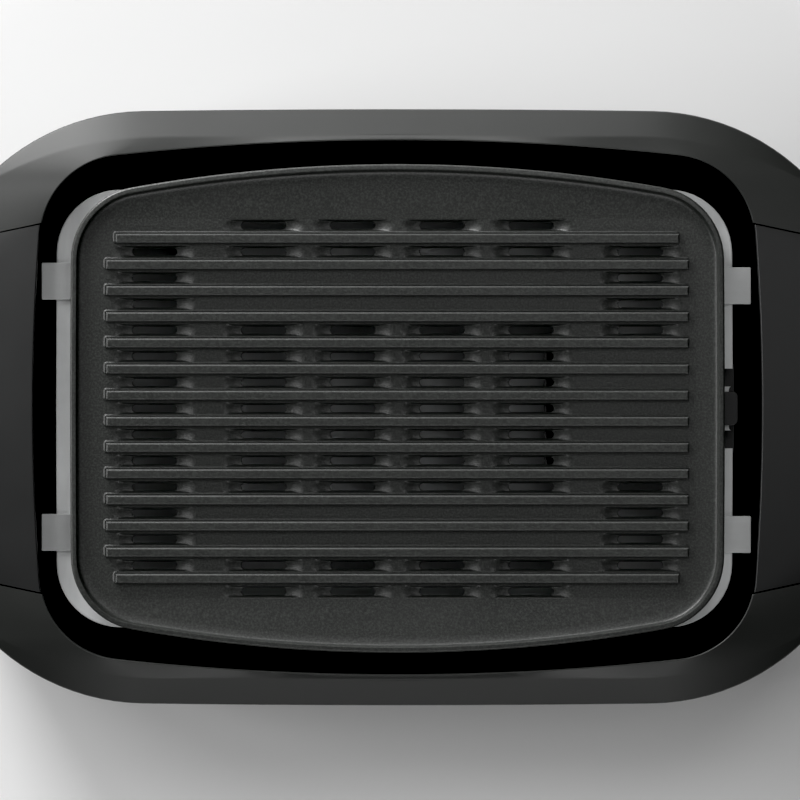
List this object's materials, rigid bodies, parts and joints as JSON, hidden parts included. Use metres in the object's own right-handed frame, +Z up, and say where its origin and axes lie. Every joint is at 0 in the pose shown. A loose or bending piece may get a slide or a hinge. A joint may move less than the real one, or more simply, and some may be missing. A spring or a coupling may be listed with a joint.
{
  "type": "indoor electric grill",
  "caption": "Tabletop electric grill: a ribbed, slotted cast plate over a lift-out drip tray, in a moulded body guard with a handle at each end.",
  "frame": {"origin": "under the middle of the body, on the face its feet stand on", "axes": "+X the long way, towards the control and inlet; +Y towards the back; +Z up"},
  "size_m": [0.4636, 0.2884, 0.092],
  "materials": {
    "guard_plastic": "fine matt grain",
    "handle_plastic": "smooth satin",
    "cast_plate": "dark non-stick coat with a fine speckle",
    "bright_steel": "bright plated sheet",
    "plated_steel": "plated",
    "element_sheath": "oxidised sheath",
    "black_resin": "moulded heat-proof resin",
    "base_sheet": "dark coated sheet",
    "foot_rubber": "matt",
    "contact_brass": "drawn",
    "lens_red": "clear red",
    "lamp_glass": "clear"
  },
  "bodies": {
    "body": {"guard_shell": "guard_plastic", "left_grip_pocket": "guard_plastic", "right_grip_pocket": "guard_plastic", "left_handle_cover": "handle_plastic", "right_handle_cover": "handle_plastic", "base_plate": "base_sheet", "foot_1": "foot_rubber", "foot_2": "foot_rubber", "foot_3": "foot_rubber", "foot_4": "foot_rubber", "base_screw_1": "plated_steel", "base_screw_2": "plated_steel", "base_screw_3": "plated_steel", "base_screw_4": "plated_steel", "base_screw_5": "plated_steel", "base_screw_6": "plated_steel", "contact_block": "black_resin", "contact_sleeve_front": "contact_brass", "contact_sleeve_back": "contact_brass", "control_housing": "guard_plastic", "control_bezel": "plated_steel", "regulator_body": "black_resin", "regulator_nut": "plated_steel", "indicator_lens": "lens_red", "indicator_lamp": "lamp_glass", "inlet_socket": "black_resin", "inlet_pin_line": "contact_brass", "inlet_pin_earth": "contact_brass", "inlet_pin_neutral": "contact_brass"},
    "tray": {"drip_tray": "bright_steel", "tray_strap_left_front": "bright_steel", "tray_strap_left_back": "bright_steel", "tray_strap_right_front": "bright_steel", "tray_strap_right_back": "bright_steel"},
    "plate": {"grill_plate": "cast_plate", "heating_element": "element_sheath", "terminal_cover": "base_sheet", "cover_screw_1": "plated_steel", "cover_screw_2": "plated_steel", "thermal_cutout": "plated_steel", "terminal_block": "black_resin", "contact_pin_front": "contact_brass", "contact_pin_back": "contact_brass"},
    "dial": {"control_dial": "black_resin", "dial_spindle": "plated_steel"}
  },
  "joints": [
    {"name": "tray_lift", "type": "slide", "parent": "body", "child": "tray", "axis": [0, 0, 1], "range_m": [0, 0.09]},
    {"name": "plate_lift", "type": "slide", "parent": "tray", "child": "plate", "axis": [0, 0, 1], "range_m": [0, 0.09]},
    {"name": "dial_turn", "type": "hinge", "parent": "body", "child": "dial", "pos_m": [0.216, 0.016, 0.032], "axis": [-1, 0, 0], "range_deg": [0, 270]}
  ]
}
